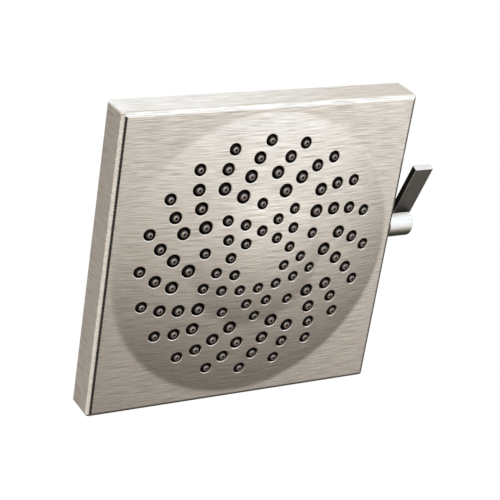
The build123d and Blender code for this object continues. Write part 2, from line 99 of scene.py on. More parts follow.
# Usual span of a noise's values, and the span that the brushed tones use
NOISE_SPAN = (0.25, 0.75)
BRUSHED_SPAN = (0.34, 0.58)

# Height of every bump
BUMP_DISTANCE = 0.0001

# Graded room: (degrees, level), by the turn from +X towards +Y or by the rise over the horizon
FRONT_TURN = (
    (-180, 0), (-150, 0), (-130, 0.5), (-100, 0.53), (-78, 0.61), (-62, 0.78), (-57, 0.93),
    (-50, 0.91), (-44, 0.8), (-36, 0.64), (-24, 0.05), (68, 0.04), (180, 0),
)
FRONT_RISE = (
    (-90, 0.03), (-56, 0.09), (-43, 0.185), (-31, 0.42), (-25, 0.585), (-20, 0.85), (-10, 1), (90, 1),
)
LEFT_TURN = (
    (-180, 0.7), (-140, 0.7), (-120, 0), (28, 0), (46, 0.18),
    (90, 0.2), (112, 0.2), (123, 0.219), (140, 0.7), (180, 0.7),
)
LEFT_RISE = ((-90, 0.05), (-60, 0.1), (-45, 0.5), (-35, 1), (90, 1))
SKY_TURN = (
    (-180, 0.7), (-125, 0.7), (-100, 0.87), (-62, 1), (-46, 1), (-38, 0.9), (-24, 0.9),
    (-12, 1), (30, 0.77), (45, 0.62), (52, 0.615), (57, 0.8), (63, 0.865), (74, 0.87),
    (90, 0.9), (122, 0.92), (140, 0.8), (150, 0.75), (180, 0.7),
)
LOW_SKY_TURN = (
    (-180, 0.8), (-100, 0.8), (-85, 1), (-32, 1), (-14, 0.55), (40, 0.55), (52, 0.85), (180, 0.8),
)
LOW_SKY_RISE = ((-90, 0), (8, 0), (16, 1), (90, 1))
HORIZON_RISE = ((-90, 0), (-3, 0), (3, 1), (90, 1))
DARKEST = 0.03

# Colours of the room at level 0 and 1, below and above the horizon
ROOM_TINTS = ((1.43, 1.32, 1.18), (1.43, 1.48, 1.54))
SKY_TINTS = ((1.43, 1.164, 0.839), (1.43, 1.587, 1.778))


def amount(name, description, value, **options):
    """A number property."""
    return FloatProperty(name=name, description=description, default=value, **options)


def length(name, description, value):
    """A length property in metres, from millimetres."""
    return amount(name, description, value * MM, unit="LENGTH", precision=5)


def slant(name, description, value):
    """An angle property, from degrees."""
    return amount(name, description, radians(value), subtype="ANGLE")


def tally(name, description, value, least):
    """A whole number property."""
    return IntProperty(name=name, description=description, default=value, min=least)


def spot(name, description, value):
    """A place property in metres."""
    return FloatVectorProperty(name=name, description=description, default=value, subtype="XYZ", precision=5)


def colour(name, description, value):
    """A linear colour property."""
    return FloatVectorProperty(
        name=name, description=description, default=value, size=3, min=0.0, max=1.0, subtype="COLOR"
    )


class FaceSizes(bpy.types.PropertyGroup):
    """Sizes of the plated tray and its crowned face."""

    depth: length("Depth", "Depth of the tray without the crown", 22.6)
    edge_round: length("Edge Round", "Rounding of the front edges", 3.4)
    corner_round: length("Corner Round", "Rounding of the four corners", 2.2)
    wall: length("Wall", "Wall of the tray and its face", 2.4)
    dome_rim: length("Dome Rim", "Radius where the crowned face meets the flat corners", 102.3)
    outer_crown: length("Outer Crown", "Height that the outer crown would reach at the axis", 8.0)
    cap_radius: length("Cap Radius", "Radius of the raised middle", 47.4)
    cap_rise: length("Cap Rise", "Height of the raised middle over its rim", 3.86)
    cap_blend: length("Cap Blend", "Half width of the soft valley round the middle", 4.5)
    rim_blend: length("Rim Blend", "Half width of the soft line round the dome", 2.2)
    lip: length("Hole Lip", "Rounding of the rolled lip of each hole", 0.75)
    hole_segments: tally("Hole Segments", "Steps round each hole", 36, 12)


class NozzleSizes(bpy.types.PropertyGroup):
    """Sizes of the soft nozzles and their mat."""

    share: amount("Share", "Width of a nozzle's root as a share of its hole", 0.68)
    taper: slant("Taper", "Draft of a nozzle's side", 3)
    proud: length("Proud", "Height of a tip over the face", 1.0)
    tip_rise: length("Tip Rise", "Height of a tip's domed end", 1.1)
    orifice: length("Orifice", "Radius of the spray hole", 0.75)
    sheet: length("Sheet", "Thickness of the mat", 1.8)
    sheet_radius: length("Sheet Radius", "Radius of the mat", 96.0)
    segments: tally("Segments", "Steps round each nozzle", 24, 8)


class LeverSizes(bpy.types.PropertyGroup):
    """Sizes of the side lever."""

    hub_radius: length("Hub Radius", "Radius of the round hub", 9.6)
    blade_inset: length("Blade Inset", "Distance of the blade from the hub's inner end", 4.05)
    blade_thickness: length("Blade Thickness", "Thickness of the blade", 4.7)
    blade_front: length("Blade Front", "Front of the blade before the hub's axis", 0.3)
    blade_length: length("Blade Length", "Length of the blade from the hub's axis", 52.3)
    bevel: length("Bevel", "Eased edges of hub and blade", 0.4)
    lean: slant("Lean", "Forward lean at rest", 21.2)


class InletSizes(bpy.types.PropertyGroup):
    """Sizes of the swivel ball and its nuts."""

    ball_radius: length("Ball Radius", "Radius of the swivel ball", 12.5)
    stem_radius: length("Stem Radius", "Radius of the ball's stem", 7.0)
    water_radius: length("Water Radius", "Radius of the water bore", 4.0)
    thread_radius: length("Thread Radius", "Minor radius of the inlet thread", 9.35)
    thread_length: length("Thread Length", "Length of the inlet thread", 11.0)
    thread_pitch: length("Thread Pitch", "Pitch of the inlet thread", 1.814)
    thread_depth: length("Thread Depth", "Depth of the inlet thread", 1.1)
    nut_flats: length("Nut Flats", "Width over the inlet nut's flats", 27.0)
    nut_chamfer: length("Nut Chamfer", "Chamfer of the inlet nut's corners", 1.2)
    relief_radius: length("Relief Radius", "Radius behind the inlet thread", 9.9)
    floor_thickness: length("Floor", "Thickness of the inlet nut's floor", 4.0)
    grip_count: tally("Grip Flats", "Flats round the retaining nut", 12, 6)
    grip_depth: length("Grip Depth", "Depth of the retaining nut's flats", 0.7)
    lip_angle: slant("Lip Angle", "Opening of the lip", 55.5)


class FinishColours(bpy.types.PropertyGroup):
    """Colours of the finishes."""

    nickel: colour("Brushed Nickel", "Warm brushed plating", (0.83, 0.765, 0.68))
    nickel_dark: colour("Brush Shade", "Shade in the brushed lines", (0.47, 0.415, 0.352))
    lever: colour("Lever Nickel", "Finer, cooler brushing of the lever", (0.77, 0.73, 0.675))
    lever_dark: colour("Lever Shade", "Shade in the lever's lines", (0.58, 0.545, 0.495))
    bright: colour("Bright Nickel", "Polished ball and stem", (0.78, 0.76, 0.73))
    silicone: colour("Silicone", "Tips of the soft nozzles", (0.05, 0.034, 0.026))
    # Near-black painted shade on the mat, the nozzle roots and the orifice bores, where the real silicone has the
    # tips' colour
    silicone_painted_shade: colour("Silicone Painted Shade", "Roots and mat, near black as painted shade", (0.008, 0.0055, 0.004))
    plastic: colour("Black Plastic", "Water body", (0.03, 0.03, 0.033))
    acetal: colour("Pale Plastic", "Seat, spool and regulator", (0.74, 0.73, 0.69))
    rubber: colour("Black Rubber", "Seals and washer", (0.022, 0.022, 0.024))
    brass: colour("Brass", "Spindle and gland nut", (0.72, 0.52, 0.25))
    steel: colour("Steel", "Screws, clip and screen", (0.6, 0.6, 0.6))


class StageSettings(bpy.types.PropertyGroup):
    """Floor, light and camera."""

    floor_drop: amount("Floor Drop", "Floor below the inlet", 1.5, unit="LENGTH")
    floor_size: amount("Floor Size", "Side of the floor", 40.0, unit="LENGTH")
    tent_radius: amount("Room Radius", "Radius of the room seen in reflections", 1.4, unit="LENGTH")
    sky: amount("Sky", "Level of the room's soft light", 1.0)
    front_power: amount("Front Lamp", "Power of the front lamp", 2.4, unit="POWER")
    back_power: amount("Back Lamp", "Power of the back lamp", 0.9, unit="POWER")
    tip_power: amount("Tip Lamp", "Power of the lamp for the nozzles alone", 28.0, unit="POWER")
    camera_place: spot("Camera", "Camera's place", (-0.55278, -0.92596, 0.49099))
    camera_target: spot("Target", "Point looked at", (-0.0033, -0.06995, 0.00484))
    camera_roll: slant("Roll", "Camera's roll", 9.22)
    lens: amount("Lens", "Focal length in millimetres", 123.65)


class ShowerHeadSettings(bpy.types.PropertyGroup):
    """All the settings of the dressed shower head."""

    face: PointerProperty(type=FaceSizes)
    nozzle: PointerProperty(type=NozzleSizes)
    lever: PointerProperty(type=LeverSizes)
    inlet: PointerProperty(type=InletSizes)
    finish: PointerProperty(type=FinishColours)
    stage: PointerProperty(type=StageSettings)


def settings():
    """The scene's settings."""
    return bpy.context.scene.shower_head


# Mesh gathering


class Skin:
    """Points with their own normals, and faces, gathered patch by patch."""

    def __init__(self):
        self.points = []
        self.normals = []
        self.faces = []
        self.marks = {}

    def add(self, point, normal):
        """Adds a point and returns its index."""
        self.points.append(tuple(point))
        self.normals.append(tuple(normal))
        return len(self.points) - 1

    def rows(self, rows, closed=True, flip=False, mark=0):
        """Adds rows of (point, normal) pairs and the quads between neighbouring rows, in one finish."""
        index = [[self.add(p, n) for p, n in row] for row in rows]
        for low, high in zip(index, index[1:]):
            count = len(low)
            for i in range(count if closed else count - 1):
                j = (i + 1) % count
                quad = (low[i], low[j], high[j], high[i])
                if mark:
                    self.marks[len(self.faces)] = mark
                self.faces.append(quad[::-1] if flip else quad)
        return index


def new_mesh(name, points, faces, materials):
    """Mesh of points and faces with its finishes."""
    mesh = bpy.data.meshes.new(name)
    mesh.from_pydata(points, [], faces)
    for material in materials:
        mesh.materials.append(material)
    return mesh


def linked(name, data):
    """Object of some data, linked to the scene."""
    obj = bpy.data.objects.new(name, data)
    bpy.context.scene.collection.objects.link(obj)
    return obj


def add_piece(name, skin, body, materials, replaced, own_normals=True):
    """Makes an object of a skin, sets its normals and finishes and ties it to its body."""
    mesh = new_mesh(name, skin.points, skin.faces, materials)
    for index, mark in skin.marks.items():
        mesh.polygons[index].material_index = mark
    mesh.validate()
    mesh.shade_smooth()
    if own_normals:
        mesh.normals_split_custom_set_from_vertices([Vector(n).normalized() for n in skin.normals])
    else:
        mesh.set_sharp_from_angle(angle=SHARP_ANGLE)
    obj = linked(name, mesh)
    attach(obj, body)
    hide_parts(*replaced)


def spaced(first, last, steps):
    """Values in even steps from first to last."""
    return [first + (last - first) * k / steps for k in range(steps + 1)]


def around(count):
    """Angles of even steps round a circle."""
    return spaced(0, 2 * pi, count)[:-1]


def eased(profile, radius, steps=4, soft=radians(22), most=0.45):
    """Rounds a profile's corners; gives points with normals on the profile's left side."""
    points = [Vector(p) for p in profile]
    ways = [(b - a).normalized() for a, b in zip(points, points[1:])]
    sides = [Vector((-w.y, w.x)) for w in ways]
    out = [(points[0], sides[0])]
    for i in range(1, len(points) - 1):
        turn = ways[i - 1].angle(ways[i])
        if turn < soft:
            out.append((points[i], (sides[i - 1] + sides[i]).normalized()))
            continue
        reach = min((points[i] - points[i - 1]).length, (points[i + 1] - points[i]).length)
        setback = min(radius * tan(turn / 2), most * reach)
        start = points[i] - ways[i - 1] * setback
        end = points[i] + ways[i] * setback
        for k in range(steps + 1):
            t = k / steps
            a = start.lerp(points[i], t)
            b = points[i].lerp(end, t)
            out.append((a.lerp(b, t), sides[i - 1].slerp(sides[i], t, sides[i])))
    out.append((points[-1], sides[-1]))
    return out


def turned(skin, outline, place):
    """Turns an eased outline about an axis given by place(radius, along, angle), its right side outwards."""
    rows = []
    for point, normal in outline:
        row = []
        for angle in around(TURNED_SEGMENTS):
            way = Vector(place(-normal.x, -normal.y, angle)) - Vector(place(0.0, 0.0, angle))
            row.append((Vector(place(point.x, point.y, angle)), way))
        rows.append(row)
    skin.rows(rows)


def about_inlet(radius, along, angle):
    """Point about the swivel's axis; along counts from the mouth towards the spray."""
    return (radius * cos(angle), -along, radius * sin(angle))


def about_lever(radius, along, angle):
    """Point about the lever's shaft; along counts along +X."""
    axis = lever_joint["pos_m"]
    return (along, axis[1] + radius * cos(angle), axis[2] + radius * sin(angle))


# Crowned face


class Crown:
    """The crowned face as heights and slopes over the flat corners."""

    # Share of the raised middle's radius up to which its slope is followed
    cap_reach = 1.5

    def __init__(self, face):
        self.face = face
        self.outer = (face.dome_rim**2 + face.outer_crown**2) / (2 * face.outer_crown)
        self.inner = (face.cap_radius**2 + face.cap_rise**2) / (2 * face.cap_rise)
        self.level = self.outer_height(face.cap_radius)
        self.flat = shell_high.y - face.depth

    def outer_height(self, r):
        """Height of the outer crown at a radius."""
        return self.face.outer_crown - self.outer + sqrt(self.outer**2 - r**2)

    def height(self, r):
        """Height of the face at a radius."""
        if r >= self.face.dome_rim:
            return 0.0
        if r >= self.face.cap_radius:
            return self.outer_height(r)
        return self.level + self.face.cap_rise - self.inner + sqrt(self.inner**2 - r**2)

    def slope(self, r):
        """Fall of the face per length at a radius, softened at the valley and the rim."""
        inner = r / sqrt(self.inner**2 - min(r, self.face.cap_radius * self.cap_reach) ** 2)
        outer = r / sqrt(self.outer**2 - r**2)
        valley = ease((r - self.face.cap_radius) / self.face.cap_blend)
        rim = ease((r - self.face.dome_rim) / self.face.rim_blend)
        return (inner + (outer - inner) * valley) * (1 - rim)

    def normal(self, x, up):
        """Unit normal of the face, out of the spray side."""
        r = hypot(x, up)
        fall = self.slope(r) / r if r > 1e-9 else 0.0
        return Vector((x * fall, -1.0, up * fall)).normalized()

    def place(self, x, up, drop=0.0):
        """Point of the face, or of the face lowered by drop."""
        return Vector((x, self.flat - self.height(hypot(x, up)) + drop, up))


def ease(t):
    """Smooth step from 0 to 1 as t goes from -1 to 1."""
    t = min(max((t + 1) / 2, 0.0), 1.0)
    return t * t * (3 - 2 * t)


def nozzle_places():
    """Centre and hole radius of every nozzle, in metres."""
    for count, ring_r, first, hole_d in NOZZLE_RINGS:
        for turn in around(count):
            angle = radians(first) + turn
            yield ring_r * MM * cos(angle), ring_r * MM * sin(angle), hole_d * MM / 2


def square_ring(straight, rounding, side_steps, corner_steps):
    """Points and outward directions round a square with rounded corners."""
    out = []
    for quarter in range(4):
        turn = Matrix.Rotation(quarter * pi / 2, 2)
        centre = Vector((straight, straight))
        for angle in spaced(0, pi / 2, corner_steps):
            way = Vector((cos(angle), sin(angle)))
            out.append((turn @ (centre + way * rounding), turn @ way))
        for along in spaced(straight, -straight, side_steps)[1:-1]:
            out.append((turn @ Vector((along, straight + rounding)), turn @ Vector((0.0, 1.0))))
    return out


def level_row(ring, y, side, back):
    """Row of a ring at one depth, with normals of these shares to the side and the back."""
    return [(Vector((p.x, y, p.y)), Vector((w.x * side, back, w.y * side))) for p, w in ring]


def face_net(face, straight, side_steps):
    """Flat net of the face round its holes: points, triangles and the holes."""
    points, edges = [], []
    side = spaced(straight, -straight, side_steps)[:-1]
    for quarter in range(4):
        turn = Matrix.Rotation(quarter * pi / 2, 2)
        points += [turn @ Vector((along, straight)) for along in side]
    holes = list(nozzle_places())
    for x, up, hole in holes:
        start, count, reach = len(points), face.hole_segments, hole + face.lip
        for k, angle in enumerate(around(count)):
            points.append(Vector((x + reach * cos(angle), up + reach * sin(angle))))
            edges.append((start + k, start + (k + 1) % count))

    def clear(x, up, lips):
        """Whether a place is further from every hole than this many lips."""
        return all(hypot(x - a, up - b) > hole + lips * face.lip for a, b, hole in holes)

    point_lips, triangle_lips = 1.6, 0.98
    pitch, ring_pitch, least_steps, merged = 4 * MM, 3 * MM, 12, 1e-6
    corner_start = face.dome_rim + 3 * face.rim_blend
    blend = (-1, -0.6, -0.3, 0, 0.3, 0.6, 1)
    radii = [pitch * (k + 1) for k in range(int(face.dome_rim / pitch))]
    radii += [face.cap_radius + face.cap_blend * t for t in blend]
    radii += [face.dome_rim + face.rim_blend * t for t in blend]
    for r in radii:
        for angle in around(max(least_steps, ceil(2 * pi * r / ring_pitch))):
            x, up = r * cos(angle), r * sin(angle)
            if clear(x, up, point_lips):
                points.append(Vector((x, up)))
    steps = int(2 * straight / (2 * pitch))
    ticks = spaced(-straight, straight, steps)[1:-1]
    for x in ticks:
        for up in ticks:
            if hypot(x, up) > corner_start:
                points.append(Vector((x, up)))
    net = delaunay_2d_cdt([p / MM for p in points], edges, [], 0, merged)
    flat = [Vector((p.x, p.y)) * MM for p in net[0]]
    triangles = []
    for tri in net[2]:
        middle = sum((flat[i] for i in tri), Vector((0.0, 0.0))) / len(tri)
        if clear(middle.x, middle.y, triangle_lips):
            triangles.append(tuple(tri))
    return flat, triangles, holes


def build_face(face, crown):
    """Skin of the plated tray: crowned face, rolled hole lips, walls and inner side."""
    skin = Skin()
    half = shell_high.x
    straight = half - face.edge_round
    side_steps, corner_steps, lip_steps, round_steps, ease_steps = 40, 8, 5, 10, 4
    flat, triangles, holes = face_net(face, straight, side_steps)
    front = [skin.add(crown.place(p.x, p.y), crown.normal(p.x, p.y)) for p in flat]
    back = [skin.add(crown.place(p.x, p.y, face.wall), -crown.normal(p.x, p.y)) for p in flat]
    for a, b, c in triangles:
        skin.faces.append((front[a], front[b], front[c]))
        skin.faces.append((back[c], back[b], back[a]))
    for x, up, hole in holes:
        bends = spaced(0, pi / 2, lip_steps)
        profile = [(hole + face.lip * (1 - sin(t)), face.lip * (1 - cos(t)), t) for t in bends]
        profile += [(hole, face.wall, pi / 2), (hole + face.lip, face.wall, pi / 2)]
        rows = []
        for reach, drop, bend in profile:
            row = []
            for angle in around(face.hole_segments):
                a, b = x + reach * cos(angle), up + reach * sin(angle)
                inward = Vector((-cos(angle), 0.0, -sin(angle)))
                row.append((crown.place(a, b, drop), crown.normal(a, b) * cos(bend) + inward * sin(bend)))
            rows.append(row)
        skin.rows(rows)

    def ring(side, rounding):
        return square_ring(side, rounding, side_steps, corner_steps)

    out = Vector((0.0, -1.0, 0.0))
    spread = face.edge_round - face.corner_round
    rows = []
    for bend in spaced(0, pi / 2, round_steps):
        y = crown.flat + face.edge_round * (1 - cos(bend))
        row = []
        for p, w in ring(straight + spread * sin(bend), face.corner_round * sin(bend)):
            fall = cos(bend) * (spread * (abs(w.x) + abs(w.y)) + face.corner_round)
            outward = Vector((w.x, 0.0, w.y)) * face.edge_round * sin(bend)
            row.append((Vector((p.x, y, p.y)), out * fall + outward))
        rows.append(row)
    straight += spread
    back_ease = 0.25 * MM
    wall_ring = ring(straight, face.corner_round)
    wall_depth = face.depth - face.edge_round - back_ease
    for share in (0.4, 0.7, 0.95):
        rows.append(level_row(wall_ring, crown.flat + face.edge_round + wall_depth * share, 1.0, 0.0))
    for bend in spaced(0, pi / 2, ease_steps):
        eased_ring = ring(straight, face.corner_round - back_ease * (1 - cos(bend)))
        y = crown.flat + face.depth - back_ease * (1 - sin(bend))
        rows.append(level_row(eased_ring, y, cos(bend), sin(bend)))
    back_y, inside_y = crown.flat + face.depth, crown.flat + face.wall
    inner_ring = ring(half - face.wall - face.corner_round / 2, face.corner_round / 2)
    rows.append(level_row(inner_ring, back_y, 0.0, 1.0))
    skin.rows(rows, flip=True)
    inner = [
        level_row(inner_ring, back_y, -1.0, 0.0),
        level_row(inner_ring, inside_y, -1.0, 0.0),
        level_row(ring(half - face.edge_round, 0.0), inside_y, 0.0, 1.0),
    ]
    skin.rows(inner, flip=True)
    return skin


def build_nozzles(face, nozzle, crown):
    """Skin of the soft mat: a crowned sheet and a rounded, tapered nozzle through every hole."""
    skin = Skin()
    gap = 0.05 * MM
    drop = face.wall + gap
    sheet_steps, sheet_segments = 24, 120
    # Both faces of the mat's sheet take the second finish, near-black painted shade for the gap behind the face
    for side, level in ((1, drop), (-1, drop + nozzle.sheet)):
        rows = []
        for r in spaced(0, nozzle.sheet_radius, sheet_steps)[1:]:
            places = [(r * cos(angle), r * sin(angle)) for angle in around(sheet_segments)]
            rows.append([(crown.place(x, up, level), crown.normal(x, up) * side) for x, up in places])
        index = skin.rows(rows, flip=side < 0, mark=1)
        middle = skin.add(crown.place(0.0, 0.0, level), crown.normal(0.0, 0.0) * side)
        for j in range(sheet_segments):
            tri = (middle, index[0][j], index[0][(j + 1) % sheet_segments])
            skin.faces.append(tri if side > 0 else tri[::-1])
    inwards, outwards, forwards = Vector((-1.0, 0.0)), Vector((1.0, 0.0)), Vector((0.0, -1.0))
    base = -drop - nozzle.sheet / 2
    mouth = nozzle.orifice
    shoulder = nozzle.proud - nozzle.tip_rise
    tip_steps, tip_bend = 8, radians(84)
    for x, up, hole in nozzle_places():
        height = crown.height(hypot(x, up))
        root = hole * nozzle.share
        tip = root - (nozzle.proud - base) * tan(nozzle.taper)
        outline = [(Vector((root, base)), inwards), (Vector((tip, shoulder)), inwards)]
        for bend in spaced(0, tip_bend, tip_steps)[1:]:
            point = Vector((mouth + (tip - mouth) * cos(bend), shoulder + nozzle.tip_rise * sin(bend)))
            slope = Vector((nozzle.tip_rise * cos(bend), (tip - mouth) * sin(bend)))
            outline.append((point, -slope.normalized()))
        end = Vector((mouth, nozzle.proud))
        outline += [(end, forwards), (end, outwards), (Vector((mouth, base)), outwards)]
        rows = []
        for point, normal in outline:
            row = []
            for angle in around(nozzle.segments):
                ring = Vector((cos(angle), 0.0, sin(angle)))
                place = Vector((x, crown.flat - height - point.y, up)) + ring * point.x
                row.append((place, -(ring * normal.x - Vector((0.0, normal.y, 0.0)))))
            rows.append(row)
        count = len(rows)
        # The root rows and the orifice bore take the second finish, near-black painted shade in the hole's gap and
        # in the bore; the domed tip keeps the silicone's own colour
        tip_first, tip_last = 5, count - 4
        for first, last, mark in ((0, tip_first, 1), (tip_first, tip_last, 0), (tip_last, count - 1, 1)):
            skin.rows(rows[first : last + 1], mark=mark)
    return skin


def lever_ways(lever):
    """Ways up and back along the leaning blade."""
    up = Vector((0.0, -sin(lever.lean), cos(lever.lean)))
    return up, Vector((0.0, cos(lever.lean), sin(lever.lean)))


def build_lever(lever):
    """Skin of the lever: round hub and bevelled blade."""
    skin = Skin()
    start, end = lever_low.x, lever_high.x
    hub_end = end - 0.04 * MM
    recess_r, recess_end = 7.4 * MM, start + 2.8 * MM
    profile = [(0.0, recess_end), (recess_r, recess_end), (recess_r, start)]
    profile += [(lever.hub_radius, start), (lever.hub_radius, hub_end), (0.0, hub_end)]
    turned(skin, eased(profile, lever.bevel), about_lever)
    up, back = lever_ways(lever)
    foot = 0.84 * lever.hub_radius
    low = Vector((start + lever.blade_inset, -lever.blade_front, foot))
    high = Vector((end, lever.blade_thickness - lever.blade_front, lever.blade_length))
    axis = Vector((0.0, *lever_joint["pos_m"][1:]))
    bevel_box(skin, low, high, lever.bevel, axis, (Vector((1.0, 0.0, 0.0)), back, up))
    return skin


def bevel_box(skin, low, high, bevel, origin, ways, steps=4):
    """Adds a box with rounded edges, from low to high along three ways from an origin."""
    zero = Vector((0.0, 0.0, 0.0))
    inset = Vector((bevel, bevel, bevel))
    ends = (low + inset, high - inset)
    least = 1e-6
    values = [max(tan(a), least) for a in spaced(0, radians(45), steps)]
    ticks = [-v for v in reversed(values)] + values

    def carried(start, vector):
        """A vector of the box's own frame, carried to the part's from a start."""
        for way, share in zip(ways, vector):
            start = start + way * share
        return start

    for axis in range(3):
        for sign in (-1, 1):
            rows = []
            for u in ticks:
                row = []
                for v in ticks:
                    way = zero.copy()
                    way[axis], way[(axis + 1) % 3], way[(axis + 2) % 3] = sign, u, v
                    base = Vector([ends[way[i] > 0][i] for i in range(3)])
                    unit = way.normalized()
                    row.append((carried(origin, base + unit * bevel), carried(zero, unit)))
                rows.append(row)
            skin.rows(rows, closed=False, flip=sign > 0)


def build_ball(inlet):
    """Skin of the swivel ball, its stem and the water bore."""
    skin = Skin()
    centre = -tilt_joint["pos_m"][1]
    top, bottom = -ball_high.y, -ball_low.y
    join = sqrt(inlet.ball_radius**2 - inlet.stem_radius**2)
    mouth = sqrt(max(inlet.ball_radius**2 - (bottom - centre) ** 2, 0.0))
    first = atan2(inlet.stem_radius, -join)
    last = atan2(mouth, bottom - centre)
    arc_steps, edge = 40, 0.35 * MM
    seat_r, seat_end = 5.55 * MM, top + 6.15 * MM
    profile = [(inlet.water_radius, bottom), (inlet.water_radius, seat_end)]
    profile += [(seat_r, seat_end), (seat_r, top), (inlet.stem_radius, top)]
    arc = spaced(first, last, arc_steps)
    profile += [(inlet.ball_radius * sin(a), centre + inlet.ball_radius * cos(a)) for a in arc]
    profile.append((inlet.water_radius, bottom))
    turned(skin, eased(profile, edge), about_inlet)
    return skin


def build_inlet_nut(inlet):
    """Skin of the hexagon nut with its internal thread."""
    skin = Skin()
    segments, thread_steps = 144, 84
    total = inlet_high.y - inlet_low.y
    flat = inlet.nut_flats / 2
    corner = flat / cos(pi / 6)
    stem = inlet.stem_radius + CLEARANCE
    floor_start = total - inlet.floor_thickness
    chamfer_slope = 1.9
    flank_slope, crest, lead_in = 1.3, 0.15, 0.6

    def outer(along, angle):
        """Radius of the hexagon, cut back by the chamfer at both ends."""
        edge = min(along, total - along)
        cone = corner - 2 * inlet.nut_chamfer + edge * chamfer_slope
        return min(flat / cos((angle + pi / 6) % (pi / 3) - pi / 6), cone)

    def thread(along, angle):
        """Radius of the thread, which fades out at the mouth."""
        turn = (along / inlet.thread_pitch + angle / (2 * pi)) % 1.0
        ramp = abs(2 * turn - 1)
        fade = min(1.0, along / (lead_in * inlet.thread_pitch))
        share = min(max(ramp * flank_slope - crest, 0.0), 1.0)
        return inlet.thread_radius + inlet.thread_depth * share * fade

    def ring(radius, along):
        """Row at one depth, of one radius or of a function's."""
        row = []
        for angle in around(segments):
            r = radius(along, angle) if callable(radius) else radius
            row.append((about_inlet(r, along, angle), NO_NORMAL))
        return row

    edge_steps = [e * MM for e in (0.0, 0.3, 0.6, 0.9, 1.2, 1.6, 2.0, 2.6, 3.2)]
    levels = edge_steps + [total / 2] + [total - e for e in reversed(edge_steps)]
    rows = [ring(outer, s) for s in levels]
    rows += [ring(stem, total), ring(stem, floor_start), ring(inlet.relief_radius, floor_start)]
    rows.append(ring(inlet.relief_radius, inlet.thread_length))
    for k in range(thread_steps + 1):
        rows.append(ring(thread, inlet.thread_length * (1 - k / thread_steps)))
    rows.append(ring(outer, 0.0))
    skin.rows(rows)
    return skin


def build_ring_nut(inlet):
    """Skin of the retaining nut with its grip flats and the lip round the ball."""
    skin = Skin()
    segments, lip_steps, edge = 240, 12, 0.5 * MM
    centre = -tilt_joint["pos_m"][1]
    top, bottom = -ring_high.y, -ring_low.y
    radius = ring_high.x
    socket = inlet.ball_radius + CLEARANCE
    thread_r, thread_end = 17.05 * MM, centre - 0.55 * MM
    face_width, shoulder = 3.0 * MM, top + 3.7 * MM
    grip_start, grip_end = top + 4.6 * MM, top + 14.0 * MM
    rim = (centre - top) * tan(inlet.lip_angle)
    socket_end = radians(89)
    lip = reversed(spaced(inlet.lip_angle, socket_end, lip_steps))
    profile = [(socket * sin(a), centre - socket * cos(a)) for a in lip]
    profile += [(rim, top), (rim + face_width, top), (radius, shoulder)]
    profile += [(radius, grip_start), (radius, grip_end), (radius, bottom)]
    profile += [(thread_r, bottom), (thread_r, thread_end), (socket * sin(socket_end), thread_end)]
    grip = radius - inlet.grip_depth
    step = 2 * pi / inlet.grip_count
    rows = []
    for point, _ in eased(profile, edge):
        gripped = grip_start < point.y < grip_end and point.x > thread_r + MM
        row = []
        for angle in around(segments):
            flat = grip / cos((angle + step / 2) % step - step / 2)
            r = min(point.x, flat) if gripped else point.x
            row.append((about_inlet(r, point.y, angle), NO_NORMAL))
        rows.append(row)
    skin.rows(rows)
    return skin


# Finishes


def node_group(name, inputs, outputs):
    """Empty shader group with float sockets; returns the group and its two ends."""
    group = bpy.data.node_groups.new(name, "ShaderNodeTree")
    for title, value in inputs:
        socket = group.interface.new_socket(name=title, in_out="INPUT", socket_type="NodeSocketFloat")
        socket.default_value = value
    for title in outputs:
        group.interface.new_socket(name=title, in_out="OUTPUT", socket_type="NodeSocketFloat")
    return group, group.nodes.new("NodeGroupInput"), group.nodes.new("NodeGroupOutput")


def set_inputs(tree, node, values):
    """Links or sets a node's inputs, by name or index; None leaves one as it is."""
    for key, value in values.items():
        if isinstance(value, bpy.types.NodeSocket):
            tree.links.new(value, node.inputs[key])
        elif value is not None:
            node.inputs[key].default_value = value


def add_node(tree, kind, values, **options):
    """Adds a shader node with its options and inputs."""
    node = tree.nodes.new("ShaderNode" + kind)
    for name, option in options.items():
        setattr(node, name, option)
    set_inputs(tree, node, values)
    return node


def math_node(tree, operation, a, b=None):
    """Result of a math operation."""
    return add_node(tree, "Math", {0: a, 1: b}, operation=operation).outputs[0]


def product(tree, a, b):
    """Product of two values."""
    return math_node(tree, "MULTIPLY", a, b)


def combine(tree, x, y, z):
    """Vector of three values."""
    return add_node(tree, "CombineXYZ", {0: x, 1: y, 2: z}).outputs[0]


def split(tree, vector):
    """Three values of a vector."""
    return add_node(tree, "SeparateXYZ", {0: vector}).outputs


def source(tree, kind, title):
    """One output of a node without inputs."""
    return add_node(tree, kind, {}).outputs[title]


def noise_at(tree, vector, scale, detail, roughness=0.5, distortion=0.0):
    """Noise value at a vector."""
    values = {"Vector": vector, "Scale": scale, "Detail": detail, "Roughness": roughness}
    return add_node(tree, "TexNoise", {**values, "Distortion": distortion}).outputs["Fac"]


def remap(tree, value, low, high, span=NOISE_SPAN):
    """Value of a noise carried from a span to low..high."""
    ends = {"From Min": span[0], "From Max": span[1], "To Min": low, "To Max": high}
    return add_node(tree, "MapRange", {"Value": value, **ends}).outputs["Result"]


def mixed(tree, kind, factor, first, second):
    """Mix of two vectors or colours by a factor."""
    a, b, result = MIX_SOCKETS[kind]
    return add_node(tree, "Mix", {"Factor": factor, a: first, b: second}, data_type=kind).outputs[result]


def two_tone(tree, factor, first, second):
    """Colour between two by a factor."""
    return mixed(tree, "RGBA", factor, (*first, 1.0), (*second, 1.0))


def bump(tree, height, strength):
    """Normal from a height."""
    values = {"Strength": strength, "Distance": BUMP_DISTANCE, "Height": height}
    return add_node(tree, "Bump", values).outputs["Normal"]


